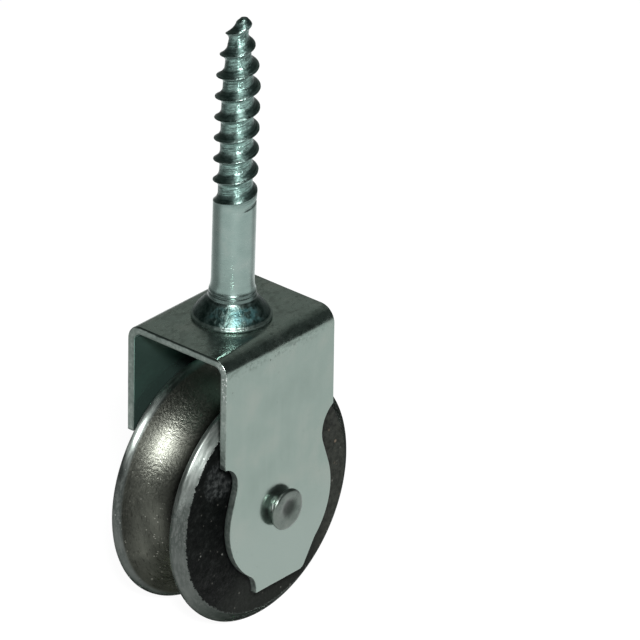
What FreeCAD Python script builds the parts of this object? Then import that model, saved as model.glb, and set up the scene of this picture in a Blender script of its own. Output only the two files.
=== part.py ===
import FreeCAD, Part
import Sketcher
import math
import os

# Gate wheel with a round groove, running in a folded sheet fork that hangs
# under a wood screw.  Millimetres.  Frame: origin on the screw's axis at the
# foot of its plain shank, +Z up along the screw, X the rolling direction,
# Y along the wheel's axle.

V = FreeCAD.Vector
doc = FreeCAD.newDocument("gate_wheel")
sheet = doc.addObject("Spreadsheet::Sheet", "Sizes")

sizes = [
    # fork, folded from one strip of sheet
    ("sheet_thick", 2.0),
    ("fork_depth", 37.0),
    ("fork_width", 30.0),
    ("bend_radius", 4.0),
    ("axle_drop", 44.0),
    ("tab_drop", 19.6),
    ("lobe_radius", 17.35),
    ("lobe_right", 0.6),
    ("lobe_down", 0.5),
    ("front_notch_out", 19.6),
    ("front_notch_up", 11.3),
    ("front_notch_radius", 5.4),
    ("back_notch_out", 22.1),
    ("back_notch_up", 13.0),
    ("back_notch_radius", 7.35),
    ("tab_front", 7.55),
    ("tab_front_fillet", 5.0),
    ("tab_back", 8.43),
    ("tab_back_slope", 57.6),
    ("tab_back_fillet", 6.0),
    ("tab_back_round", 2.0),
    ("trim_margin", 42.0),
    # screw
    ("collar_height", 7.4),
    ("collar_radius", 9.3),
    ("collar_rim", 1.35),
    ("collar_edge", 0.4),
    ("ring_radius", 5.95),
    ("ring_height", 2.2),
    ("shank_radius", 4.95),
    ("shank_length", 21.9),
    ("runout", 2.7),
    ("core_radius", 3.65),
    ("core_straight", 47.6),
    ("core_mid_radius", 2.7),
    ("core_mid_height", 60.0),
    ("core_end_radius", 1.75),
    ("core_end_height", 65.6),
    ("tip_radius", 1.0),
    ("tip_height", 67.4),
    ("tenon_radius", 4.0),
    ("peen_radius", 6.3),
    ("peen_height", 2.4),
    ("thread_pitch", 5.2),
    ("thread_start", 19.95),
    ("thread_turns", 6.5),
    ("thread_crest", 4.93),
    ("thread_crest_width", 0.35),
    ("thread_root", 2.4),
    ("thread_root_width", 3.9),
    ("taper_turns", 2.0),
    ("taper_crest", 3.0),
    ("taper_root", 1.2),
    ("taper_root_width", 2.6),
    # rivet that is the axle
    ("axle_radius", 2.5),
    ("head_radius", 7.0),
    ("head_height", 5.0),
    ("tail_radius", 4.9),
    ("tail_proud", 2.4),
    ("tail_thick", 1.3),
    ("tail_neck", 2.9),
    ("dimple_radius", 2.1),
    ("dimple_floor", 0.7),
    ("dimple_depth", 0.9),
    # sleeve on the axle
    ("bush_inner", 2.55),
    ("bush_outer", 3.75),
    ("bush_proud", 0.9),
    # wheel
    ("wheel_radius", 30.0),
    ("wheel_width", 22.0),
    ("wheel_bore", 3.8),
    ("groove_radius", 7.5),
    ("crest_width", 1.7),
    ("rim_chamfer", 2.7),
    ("lip_round", 0.6),
    ("shoulder_round", 1.0),
    ("rim_round", 1.2),
]


class Dim:
    """A size of the sheet, or an expression of such sizes: its value and its text."""

    def __init__(self, value, text):
        self.value = float(value)
        self.text = text

    @staticmethod
    def of(other):
        return other if isinstance(other, Dim) else Dim(other, repr(float(other)))

    def __add__(self, other):
        other = Dim.of(other)
        return Dim(self.value + other.value, "(%s + %s)" % (self.text, other.text))

    def __sub__(self, other):
        other = Dim.of(other)
        return Dim(self.value - other.value, "(%s - %s)" % (self.text, other.text))

    def __mul__(self, other):
        other = Dim.of(other)
        return Dim(self.value * other.value, "(%s * %s)" % (self.text, other.text))

    def __truediv__(self, other):
        other = Dim.of(other)
        return Dim(self.value / other.value, "(%s / %s)" % (self.text, other.text))

    def __neg__(self):
        return Dim(-self.value, "(0 - %s)" % self.text)


S = {}
for row, (alias, number) in enumerate(sizes, start=1):
    sheet.set("A%d" % row, alias.replace("_", " "))
    sheet.set("B%d" % row, str(number))
    sheet.setAlias("B%d" % row, alias)
    S[alias] = Dim(number, "Sizes." + alias)
doc.recompute()


def new_body(label):
    body = doc.addObject("PartDesign::Body", label)
    body.Label = label
    return body


def datum(body, role):
    return [o for o in body.Origin.OriginFeatures if o.Role == role][0]


def new_sketch(body, name, role):
    sk = body.newObject("Sketcher::SketchObject", name)
    sk.AttachmentSupport = [(datum(body, role), "")]
    sk.MapMode = "FlatFace"
    return sk


def bind(sk, kind, args, dim):
    """Add a dimension to a sketch and drive it from the sheet."""
    index = sk.addConstraint(Sketcher.Constraint(kind, *args, dim.value))
    sk.setExpression("Constraints[%d]" % index, dim.text)
    return index


def place_x(sk, geo, pos, dim):
    dim = Dim.of(dim)
    if abs(dim.value) < 1e-9:
        sk.addConstraint(Sketcher.Constraint("PointOnObject", geo, pos, -2))
    elif dim.value > 0:
        bind(sk, "DistanceX", (-1, 1, geo, pos), dim)
    else:
        bind(sk, "DistanceX", (geo, pos, -1, 1), -dim)


def place_y(sk, geo, pos, dim):
    dim = Dim.of(dim)
    if abs(dim.value) < 1e-9:
        sk.addConstraint(Sketcher.Constraint("PointOnObject", geo, pos, -1))
    elif dim.value > 0:
        bind(sk, "DistanceY", (-1, 1, geo, pos), dim)
    else:
        bind(sk, "DistanceY", (geo, pos, -1, 1), -dim)


def line(sk, a, b):
    return sk.addGeometry(Part.LineSegment(V(a[0], a[1], 0), V(b[0], b[1], 0)))


def arc(sk, centre, radius, start, end):
    """Arc counter-clockwise from the angle start to the angle end, in radians."""
    circle = Part.Circle(V(centre[0], centre[1], 0), V(0, 0, 1), radius)
    return sk.addGeometry(Part.ArcOfCircle(circle, start, end))


def meet(sk, first, first_pos, second, second_pos):
    sk.addConstraint(Sketcher.Constraint("Coincident", first, first_pos, second, second_pos))


def tangent(sk, first, first_pos, second, second_pos):
    sk.addConstraint(Sketcher.Constraint("Tangent", first, first_pos, second, second_pos))


def level(sk, geo):
    sk.addConstraint(Sketcher.Constraint("Horizontal", geo))


def upright(sk, geo):
    sk.addConstraint(Sketcher.Constraint("Vertical", geo))


def outline(sk, points, bulges=None):
    """Closed outline through points (pairs of Dim).  bulges maps the index of a
    side to the centre (pair of Dim) and sense of the arc that replaces it, and to
    the coordinate of the centre that is given."""
    bulges = bulges or {}
    count = len(points)
    ends = []
    for i in range(count):
        a = (Dim.of(points[i][0]).value, Dim.of(points[i][1]).value)
        nxt = points[(i + 1) % count]
        b = (Dim.of(nxt[0]).value, Dim.of(nxt[1]).value)
        if i in bulges:
            cx, cy, ccw, given = bulges[i]
            c = (Dim.of(cx).value, Dim.of(cy).value)
            radius = math.hypot(a[0] - c[0], a[1] - c[1])
            angle_a = math.atan2(a[1] - c[1], a[0] - c[0])
            angle_b = math.atan2(b[1] - c[1], b[0] - c[0])
            if ccw:
                geo = arc(sk, c, radius, angle_a, angle_b if angle_b > angle_a else angle_b + 2 * math.pi)
                ends.append((geo, 1, 2))
            else:
                geo = arc(sk, c, radius, angle_b, angle_a if angle_a > angle_b else angle_a + 2 * math.pi)
                ends.append((geo, 2, 1))
        else:
            ends.append((line(sk, a, b), 1, 2))
    for i in range(count):
        nxt = ends[(i + 1) % count]
        meet(sk, ends[i][0], ends[i][2], nxt[0], nxt[1])
    for i in range(count):
        place_x(sk, ends[i][0], ends[i][1], points[i][0])
        place_y(sk, ends[i][0], ends[i][1], points[i][1])
    for i in bulges:
        cx, cy, ccw, given = bulges[i]
        if given == "x":
            place_x(sk, ends[i][0], 3, cx)
        else:
            place_y(sk, ends[i][0], 3, cy)
    return ends


def revolve(body, name, sk, axis):
    doc.recompute()
    feature = body.newObject("PartDesign::Revolution", name)
    feature.Profile = sk
    feature.ReferenceAxis = (sk, [axis])
    feature.Angle = 360.0
    doc.recompute()
    return feature


def cut_through(body, name, sk):
    doc.recompute()
    before = body.Shape.Volume
    feature = body.newObject("PartDesign::Pocket", name)
    feature.Profile = sk
    feature.Type = "ThroughAll"
    feature.SideType = "Symmetric"
    doc.recompute()
    if body.Shape.Volume > before - 1e-3:
        raise RuntimeError(name + " cuts nothing")
    return feature


def drop(body, dim):
    body.setExpression("Placement.Base.z", (-dim).text)


axle_level = S["collar_height"] + S["axle_drop"]

# ---------------------------------------------------------------- fork
fork = new_body("fork_bracket")
half = S["fork_width"] / 2
top = S["axle_drop"]
bottom = -S["tab_drop"]
thick = S["sheet_thick"]
bend = S["bend_radius"]

# section of the folded strip, across the axle: two cheeks and the web
sk = new_sketch(fork, "fold", "YZ_Plane")
hw, tz, bz = half.value, top.value, bottom.value
th, br = thick.value, bend.value
cy, cz = hw - br, tz - br
o_left = line(sk, (-hw, bz), (-hw, cz))
o_bend_l = arc(sk, (-cy, cz), br, math.pi / 2, math.pi)
o_top = line(sk, (-cy, tz), (cy, tz))
o_bend_r = arc(sk, (cy, cz), br, 0, math.pi / 2)
o_right = line(sk, (hw, cz), (hw, bz))
foot_r = line(sk, (hw, bz), (hw - th, bz))
i_right = line(sk, (hw - th, bz), (hw - th, cz))
i_bend_r = arc(sk, (cy, cz), br - th, 0, math.pi / 2)
i_top = line(sk, (cy, tz - th), (-cy, tz - th))
i_bend_l = arc(sk, (-cy, cz), br - th, math.pi / 2, math.pi)
i_left = line(sk, (-hw + th, cz), (-hw + th, bz))
foot_l = line(sk, (-hw + th, bz), (-hw, bz))
tangent(sk, o_left, 2, o_bend_l, 2)
tangent(sk, o_bend_l, 1, o_top, 1)
tangent(sk, o_top, 2, o_bend_r, 2)
tangent(sk, o_bend_r, 1, o_right, 1)
meet(sk, o_right, 2, foot_r, 1)
meet(sk, foot_r, 2, i_right, 1)
tangent(sk, i_right, 2, i_bend_r, 1)
tangent(sk, i_bend_r, 2, i_top, 1)
tangent(sk, i_top, 2, i_bend_l, 1)
tangent(sk, i_bend_l, 2, i_left, 1)
meet(sk, i_left, 2, foot_l, 1)
meet(sk, foot_l, 2, o_left, 1)
for g in (o_left, o_right, i_left, i_right):
    upright(sk, g)
for g in (o_top, i_top, foot_l, foot_r):
    level(sk, g)
meet(sk, o_bend_l, 3, i_bend_l, 3)
meet(sk, o_bend_r, 3, i_bend_r, 3)
bind(sk, "Radius", (o_bend_l,), bend)
sk.addConstraint(Sketcher.Constraint("Equal", o_bend_l, o_bend_r))
bind(sk, "DistanceX", (o_left, 1, i_left, 2), thick)
place_x(sk, o_left, 1, -half)
place_x(sk, o_right, 2, half)
place_y(sk, o_top, 1, top)
place_y(sk, foot_l, 2, bottom)
place_y(sk, foot_r, 1, bottom)
doc.recompute()
pad = fork.newObject("PartDesign::Pad", "strip")
pad.Profile = sk
pad.SideType = "Symmetric"
pad.setExpression("Length", S["fork_depth"].text)
doc.recompute()


def inner_tangent(c1, r1, c2, r2, turn):
    """Points where the line touches circle 1 and circle 2 from opposite sides."""
    dx, dy = c1[0] - c2[0], c1[1] - c2[1]
    angle = math.atan2(dy, dx) + turn * math.acos((r1 + r2) / math.hypot(dx, dy))
    n = (math.cos(angle), math.sin(angle))
    return (c1[0] - r1 * n[0], c1[1] - r1 * n[1]), (c2[0] + r2 * n[0], c2[1] + r2 * n[1]), angle


lobe_c = (S["lobe_right"].value, -S["lobe_down"].value)
lobe_r = S["lobe_radius"].value
far = S["trim_margin"]

# waste in front of the cheeks: round notch, lobe round the axle, short tab
sk = new_sketch(fork, "front_outline", "XZ_Plane")
notch_c = (-S["front_notch_out"].value, S["front_notch_up"].value)
notch_r = S["front_notch_radius"].value
t1, t2, n_angle = inner_tangent(notch_c, notch_r, lobe_c, lobe_r, +1)
rf = S["tab_front_fillet"].value
fc_x = -S["tab_front"].value - rf
fc_z = lobe_c[1] - math.sqrt((lobe_r + rf) ** 2 - (fc_x - lobe_c[0]) ** 2)
t3_angle = math.atan2(fc_z - lobe_c[1], fc_x - lobe_c[0]) % (2 * math.pi)
f = far.value
notch_top = (notch_c[0], notch_c[1] + notch_r)
l1 = line(sk, (-f, notch_top[1]), notch_top)
a1 = arc(sk, notch_c, notch_r, n_angle - math.pi, math.pi / 2)
l2 = line(sk, t1, t2)
a2 = arc(sk, lobe_c, lobe_r, n_angle, t3_angle)
a3 = arc(sk, (fc_x, fc_z), rf, 0, t3_angle - math.pi)
l3 = line(sk, (fc_x + rf, fc_z), (fc_x + rf, -f))
l4 = line(sk, (fc_x + rf, -f), (-f, -f))
l5 = line(sk, (-f, -f), (-f, notch_top[1]))
level(sk, l1)
tangent(sk, l1, 2, a1, 2)
tangent(sk, a1, 1, l2, 1)
tangent(sk, l2, 2, a2, 1)
tangent(sk, a2, 2, a3, 2)
tangent(sk, a3, 1, l3, 1)
upright(sk, l3)
meet(sk, l3, 2, l4, 1)
level(sk, l4)
meet(sk, l4, 2, l5, 1)
upright(sk, l5)
meet(sk, l5, 2, l1, 1)
place_x(sk, a1, 3, -S["front_notch_out"])
place_y(sk, a1, 3, S["front_notch_up"])
bind(sk, "Radius", (a1,), S["front_notch_radius"])
place_x(sk, a2, 3, S["lobe_right"])
place_y(sk, a2, 3, -S["lobe_down"])
bind(sk, "Radius", (a2,), S["lobe_radius"])
bind(sk, "Radius", (a3,), S["tab_front_fillet"])
place_x(sk, l3, 1, -S["tab_front"])
place_y(sk, l4, 1, -far)
place_x(sk, l5, 1, -far)
cut_through(fork, "front_trim", sk)

# waste behind the cheeks: wider notch that starts higher, sloped tab corner
sk = new_sketch(fork, "back_outline", "XZ_Plane")
notch_c = (S["back_notch_out"].value, S["back_notch_up"].value)
notch_r = S["back_notch_radius"].value
t1, t2, n_angle = inner_tangent(notch_c, notch_r, lobe_c, lobe_r, -1)
slope = math.radians(S["tab_back_slope"].value)
u = (math.cos(slope), math.sin(slope))
right = (u[1], -u[0])
p0 = (S["tab_back"].value, -S["tab_drop"].value)
rf = S["tab_back_fillet"].value
# fillet centre: rf to the right of the sloped side, and outside the lobe
q = (p0[0] + rf * right[0] - lobe_c[0], p0[1] + rf * right[1] - lobe_c[1])
b_half = q[0] * u[0] + q[1] * u[1]
along = -b_half - math.sqrt(b_half ** 2 - (q[0] ** 2 + q[1] ** 2 - (lobe_r + rf) ** 2))
fc = (p0[0] + along * u[0] + rf * right[0], p0[1] + along * u[1] + rf * right[1])
t3_angle = math.atan2(fc[1] - lobe_c[1], fc[0] - lobe_c[0])
t3 = (lobe_c[0] + lobe_r * math.cos(t3_angle), lobe_c[1] + lobe_r * math.sin(t3_angle))
side_top = (p0[0] + along * u[0], p0[1] + along * u[1])
rc = S["tab_back_round"].value
step = (rc - rc * -right[1]) / u[1]
cc = (p0[0] + step * u[0] - rc * right[0], p0[1] + step * u[1] - rc * right[1])
side_low = (cc[0] + rc * right[0], cc[1] + rc * right[1])
toe = (cc[0], cc[1] - rc)
notch_top = (notch_c[0], notch_c[1] + notch_r)
l1 = line(sk, (f, notch_top[1]), notch_top)
a1 = arc(sk, notch_c, notch_r, math.pi / 2, n_angle + math.pi)
l2 = line(sk, t1, t2)
a2 = arc(sk, lobe_c, lobe_r, t3_angle, n_angle)
a3 = arc(sk, fc, rf, t3_angle + math.pi, slope + math.pi / 2)
l3 = line(sk, side_top, side_low)
a4 = arc(sk, cc, rc, -math.pi / 2, slope - math.pi / 2)
l4 = line(sk, toe, (toe[0], -f))
l5 = line(sk, (toe[0], -f), (f, -f))
l6 = line(sk, (f, -f), (f, notch_top[1]))
level(sk, l1)
tangent(sk, l1, 2, a1, 1)
tangent(sk, a1, 2, l2, 1)
tangent(sk, l2, 2, a2, 2)
tangent(sk, a2, 1, a3, 1)
tangent(sk, a3, 2, l3, 1)
tangent(sk, l3, 2, a4, 2)
meet(sk, a4, 1, l4, 1)
sk.addConstraint(Sketcher.Constraint("Vertical", a4, 3, a4, 1))
upright(sk, l4)
meet(sk, l4, 2, l5, 1)
level(sk, l5)
meet(sk, l5, 2, l6, 1)
upright(sk, l6)
meet(sk, l6, 2, l1, 1)
place_x(sk, a1, 3, S["back_notch_out"])
place_y(sk, a1, 3, S["back_notch_up"])
bind(sk, "Radius", (a1,), S["back_notch_radius"])
place_x(sk, a2, 3, S["lobe_right"])
place_y(sk, a2, 3, -S["lobe_down"])
bind(sk, "Radius", (a2,), S["lobe_radius"])
bind(sk, "Radius", (a3,), S["tab_back_fillet"])
bind(sk, "Radius", (a4,), S["tab_back_round"])
place_y(sk, a4, 1, -S["tab_drop"])
sk.addConstraint(Sketcher.Constraint("DistanceX", -1, 1, l3, 1, side_top[0]))
sk.addConstraint(Sketcher.Constraint("DistanceX", -1, 1, l3, 2, side_low[0]))
place_y(sk, l5, 1, -far)
place_x(sk, l6, 1, far)
cut_through(fork, "back_trim", sk)

# one hole through both cheeks for the axle, one in the web for the screw
sk = new_sketch(fork, "axle_holes", "XZ_Plane")
g = sk.addGeometry(Part.Circle(V(0, 0, 0), V(0, 0, 1), S["axle_radius"].value))
meet(sk, g, 3, -1, 1)
bind(sk, "Radius", (g,), S["axle_radius"])
cut_through(fork, "axle_drill", sk)
sk = new_sketch(fork, "tenon_hole", "XY_Plane")
g = sk.addGeometry(Part.Circle(V(0, 0, 0), V(0, 0, 1), S["tenon_radius"].value))
meet(sk, g, 3, -1, 1)
bind(sk, "Radius", (g,), S["tenon_radius"])
cut_through(fork, "tenon_drill", sk)
drop(fork, axle_level)

# ---------------------------------------------------------------- screw
blank = new_body("screw_blank")
sk = new_sketch(blank, "screw_outline", "XZ_Plane")
seat = -S["collar_height"]
under = seat - S["sheet_thick"]
rim = S["collar_radius"]
edge = S["collar_edge"]
ring = S["ring_radius"]
peen_low = under - S["peen_height"]
peen_arc = (S["peen_radius"].value ** 2 + S["peen_height"].value ** 2) / (2 * S["peen_height"].value)
zero = Dim(0.0, "0")
outline(
    sk,
    [
        (zero, peen_low),
        (S["peen_radius"], under),
        (S["tenon_radius"], under),
        (S["tenon_radius"], seat),
        (rim - edge, seat),
        (rim, seat + edge),
        (rim, seat + S["collar_rim"] - edge),
        (rim - edge, seat + S["collar_rim"] + edge * 0.2),
        (ring, -S["ring_height"]),
        (ring - 0.1, -edge),
        (ring - 0.4, zero),
        (S["shank_radius"], zero),
        (S["shank_radius"], S["shank_length"]),
        (S["core_radius"], S["shank_length"] + S["runout"]),
        (S["core_radius"], S["core_straight"]),
        (S["core_mid_radius"], S["core_mid_height"]),
        (S["core_end_radius"], S["core_end_height"]),
        (S["tip_radius"] + 0.5, S["tip_height"] - 0.7),
        (S["tip_radius"], S["tip_height"]),
        (zero, S["tip_height"]),
    ],
    {0: (zero, peen_low + peen_arc, True, "x")},
)
revolve(blank, "screw_turned", sk, "V_Axis")

# coarse right-hand thread on the straight part of the core
sk = new_sketch(blank, "thread_section", "XZ_Plane")
start = S["thread_start"]
outline(
    sk,
    [
        (S["thread_root"], start - S["thread_root_width"] / 2),
        (S["thread_crest"], start - S["thread_crest_width"] / 2),
        (S["thread_crest"], start + S["thread_crest_width"] / 2),
        (S["thread_root"], start + S["thread_root_width"] / 2),
    ],
)
doc.recompute()
thread = blank.newObject("PartDesign::AdditiveHelix", "thread")
thread.Profile = sk
thread.ReferenceAxis = (sk, ["V_Axis"])
thread.Mode = "pitch-height-angle"
thread.setExpression("Pitch", S["thread_pitch"].text)
thread.setExpression("Height", (S["thread_pitch"] * S["thread_turns"]).text)
thread.Angle = 0.0
thread.LeftHanded = False
thread.Reversed = False
doc.recompute()


def thread_section(root, crest, root_width, crest_width, at, angle):
    c, s = math.cos(angle), math.sin(angle)
    corners = [(root, -root_width / 2), (crest, -crest_width / 2), (crest, crest_width / 2), (root, root_width / 2)]
    points = [V(r * c, r * s, at + dz) for r, dz in corners]
    return Part.makePolygon(points + [points[0]])


# the last turns run out on a cone: swept from the small end, then turned over
pitch = S["thread_pitch"].value
rise = pitch * S["taper_turns"].value
small, large = S["taper_crest"].value, S["thread_crest"].value
spine = Part.makeHelix(pitch, rise, small, math.degrees(math.atan2(large - small, rise)))
end = spine.Vertexes[-1].Point
end_angle = math.atan2(end.y, end.x)
sweep = Part.BRepOffsetAPI.MakePipeShell(Part.Wire(spine.Edges))
sweep.setBiNormalMode(V(0, 0, 1))
crest_w = S["thread_crest_width"].value
sweep.add(thread_section(S["taper_root"].value, small, S["taper_root_width"].value, crest_w, 0.0, 0.0))
sweep.add(thread_section(S["thread_root"].value, math.hypot(end.x, end.y), S["thread_root_width"].value, crest_w, end.z, end_angle))
sweep.build()
sweep.makeSolid()
tip_thread = doc.addObject("Part::Feature", "tip_thread")
tip_thread.Label = "tip_thread"
tip_thread.Shape = sweep.shape()
turned_over = FreeCAD.Rotation(V(0, 0, 1), math.degrees(end_angle)).multiply(FreeCAD.Rotation(V(1, 0, 0), 180))
tip_thread.Placement = FreeCAD.Placement(
    V(0, 0, S["thread_start"].value + pitch * S["thread_turns"].value + end.z), turned_over)
screw = doc.addObject("Part::MultiFuse", "wood_screw")
screw.Label = "wood_screw"
screw.Shapes = [blank, tip_thread]
screw.Refine = False
doc.recompute()

# ---------------------------------------------------------------- rivet
rivet = new_body("axle_rivet")
sk = new_sketch(rivet, "rivet_outline", "YZ_Plane")
tail_end = -half - S["tail_proud"]
tail_in = tail_end + S["tail_thick"]
head_r, head_h = S["head_radius"], S["head_height"]
dome = (head_r.value ** 2 + head_h.value ** 2) / (2 * head_h.value)
outline(
    sk,
    [
        (tail_end + S["dimple_depth"], zero),
        (tail_end + S["dimple_depth"], S["dimple_floor"]),
        (tail_end, S["dimple_radius"]),
        (tail_end, S["tail_radius"] - 0.35),
        (tail_end + 0.35, S["tail_radius"]),
        (tail_in - 0.3, S["tail_radius"] - 0.15),
        (tail_in, S["tail_radius"] - 0.6),
        (-half, S["tail_neck"]),
        (-half, S["axle_radius"]),
        (half, S["axle_radius"]),
        (half, head_r),
        (half + head_h, zero),
    ],
    {10: (half + head_h - dome, zero, False, "y")},
)
revolve(rivet, "rivet_turned", sk, "H_Axis")
drop(rivet, axle_level)

# ---------------------------------------------------------------- sleeve
bush = new_body("hub_bush")
sk = new_sketch(bush, "bush_outline", "YZ_Plane")
face = S["wheel_width"] / 2
outline(
    sk,
    [
        (-face - S["bush_proud"], S["bush_inner"]),
        (-face - S["bush_proud"], S["bush_outer"]),
        (face, S["bush_outer"]),
        (face, S["bush_inner"]),
    ],
)
revolve(bush, "bush_turned", sk, "H_Axis")
drop(bush, axle_level)

# ---------------------------------------------------------------- wheel
wheel = new_body("grooved_wheel")
sk = new_sketch(wheel, "wheel_outline", "YZ_Plane")
crest = S["wheel_radius"]
lip = S["groove_radius"]
shoulder = lip + S["crest_width"]
outline(
    sk,
    [
        (-face, S["wheel_bore"]),
        (-face, crest - S["rim_chamfer"]),
        (-shoulder, crest),
        (-lip, crest),
        (lip, crest),
        (shoulder, crest),
        (face, crest - S["rim_chamfer"]),
        (face, S["wheel_bore"]),
    ],
    {3: (zero, crest, True, "y")},
)
revolve(wheel, "wheel_turned", sk, "H_Axis")


def rings(shape, at, radius):
    """Names of the circular edges of a shape at a distance along the axle and a radius."""
    names = []
    for i, e in enumerate(shape.Edges, start=1):
        if isinstance(e.Curve, Part.Circle) and abs(e.Curve.Radius - radius) < 1e-4:
            if abs(abs(e.Curve.Center.y) - at) < 1e-4:
                names.append("Edge%d" % i)
    return names


def round_off(name, at, radius, size):
    base = wheel.Tip
    names = rings(base.Shape, at.value, radius.value)
    if len(names) < 2:
        raise RuntimeError(name + " finds no edges")
    feature = wheel.newObject("PartDesign::Fillet", name)
    feature.Base = (base, names)
    feature.setExpression("Radius", size.text)
    doc.recompute()


round_off("lip_rounds", lip, crest, S["lip_round"])
round_off("shoulder_rounds", shoulder, crest, S["shoulder_round"])
round_off("rim_rounds", face, crest - S["rim_chamfer"], S["rim_round"])
drop(wheel, axle_level)
doc.recompute()

# ---------------------------------------------------------------- checks and files
nodes = [fork, screw, rivet, bush, wheel]
for obj in doc.Objects:
    if "Invalid" in obj.State or "Error" in obj.State:
        raise RuntimeError("%s failed: %s" % (obj.Label, obj.State))
for obj in nodes:
    shape = obj.Shape
    if shape.isNull() or not shape.isValid() or len(shape.Solids) != 1:
        raise RuntimeError("%s has no valid single solid" % obj.Label)

os.makedirs("parts", exist_ok=True)
for obj in nodes:
    obj.Shape.exportStep("parts/%s.step" % obj.Label)
    box = obj.Shape.optimalBoundingBox()
    print("%-14s %10.1f mm3   x %.2f..%.2f  y %.2f..%.2f  z %.2f..%.2f" % (
        obj.Label, obj.Shape.Volume, box.XMin, box.XMax, box.YMin, box.YMax, box.ZMin, box.ZMax))
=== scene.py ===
import math

import bpy
import numpy as np
from mathutils import Matrix, Vector, noise
from mathutils.geometry import delaunay_2d_cdt


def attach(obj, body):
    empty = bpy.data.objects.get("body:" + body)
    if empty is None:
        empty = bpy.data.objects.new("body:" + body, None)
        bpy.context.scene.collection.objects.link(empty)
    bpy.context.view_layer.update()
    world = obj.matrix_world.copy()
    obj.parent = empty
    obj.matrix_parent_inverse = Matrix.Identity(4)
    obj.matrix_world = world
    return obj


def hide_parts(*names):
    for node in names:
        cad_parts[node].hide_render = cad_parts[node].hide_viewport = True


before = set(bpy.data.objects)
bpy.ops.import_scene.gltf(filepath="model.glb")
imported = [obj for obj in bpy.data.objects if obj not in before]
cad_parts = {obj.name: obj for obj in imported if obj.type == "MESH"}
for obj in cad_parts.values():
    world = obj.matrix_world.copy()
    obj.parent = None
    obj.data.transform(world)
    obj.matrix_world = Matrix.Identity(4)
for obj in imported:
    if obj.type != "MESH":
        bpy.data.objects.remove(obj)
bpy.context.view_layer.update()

MM = 0.001
AXLE_Z = -51.4


# ---------------------------------------------------------------- helpers

def fbm(x, y, z, octaves=3):
    """Smooth noise of about -1 to 1, sum of halving octaves."""
    total, gain, scale = 0.0, 1.0, 1.0
    for _ in range(octaves):
        total += gain * noise.noise(Vector((x * scale + 13.7, y * scale - 4.1, z * scale + 7.3)))
        gain *= 0.5
        scale *= 2.03
    return total


def smooth(a, b, v):
    t = min(1.0, max(0.0, (v - a) / (b - a)))
    return t * t * (3 - 2 * t)


def mesh_object(name, verts, faces, materials, face_materials=None, normals=None):
    """A smooth-shaded mesh piece from vertices in millimetres."""
    me = bpy.data.meshes.new(name)
    me.from_pydata([tuple(c * MM for c in v) for v in verts], [], faces)
    me.validate(verbose=False)
    for m in materials:
        me.materials.append(m)
    me.polygons.foreach_set("use_smooth", [True] * len(me.polygons))
    if face_materials is not None:
        me.polygons.foreach_set("material_index", face_materials)
    me.update()
    if normals is not None:
        me.normals_split_custom_set_from_vertices([tuple(n) for n in normals])
    ob = bpy.data.objects.new(name, me)
    bpy.context.scene.collection.objects.link(ob)
    return ob


def arc_points(cx, cy, r, a0, a1, step):
    """Points on an arc from angle a0 to a1 (degrees), both ends included."""
    n = max(2, int(abs(math.radians(a1 - a0)) * r / step + 0.999))
    out = []
    for i in range(n + 1):
        a = math.radians(a0 + (a1 - a0) * i / n)
        out.append((cx + r * math.cos(a), cy + r * math.sin(a)))
    return out


def line_points(p, q, step):
    n = max(1, int(math.dist(p, q) / step + 0.999))
    return [(p[0] + (q[0] - p[0]) * i / n, p[1] + (q[1] - p[1]) * i / n) for i in range(n + 1)]


def angle_of(c, p):
    return math.degrees(math.atan2(p[1] - c[1], p[0] - c[0]))


def rounded(points, radii, step=0.16):
    """Open polyline with each inner corner i rounded by radii[i]."""
    out = [points[0]]
    for i in range(1, len(points) - 1):
        p, q, r = (np.array(points[k], float) for k in (i - 1, i, i + 1))
        rad = radii[i]
        if not rad:
            out.append(tuple(q))
            continue
        u, v = p - q, r - q
        u, v = u / np.linalg.norm(u), v / np.linalg.norm(v)
        half = 0.5 * math.acos(max(-1, min(1, float(u @ v))))
        reach = rad / math.tan(half)
        a, b = q + u * reach, q + v * reach
        mid = (u + v) / np.linalg.norm(u + v)
        c = q + mid * rad / math.sin(half)
        a0, a1 = angle_of(c, a), angle_of(c, b)
        while a1 - a0 > 180:
            a1 -= 360
        while a1 - a0 < -180:
            a1 += 360
        out += arc_points(c[0], c[1], rad, a0, a1, min(step, rad * 0.4))
    out.append(points[-1])
    return out


def densify(points, step):
    out = [points[0]]
    for p, q in zip(points, points[1:]):
        out += line_points(p, q, step)[1:]
    return out


# ---------------------------------------------------------------- materials

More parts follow.
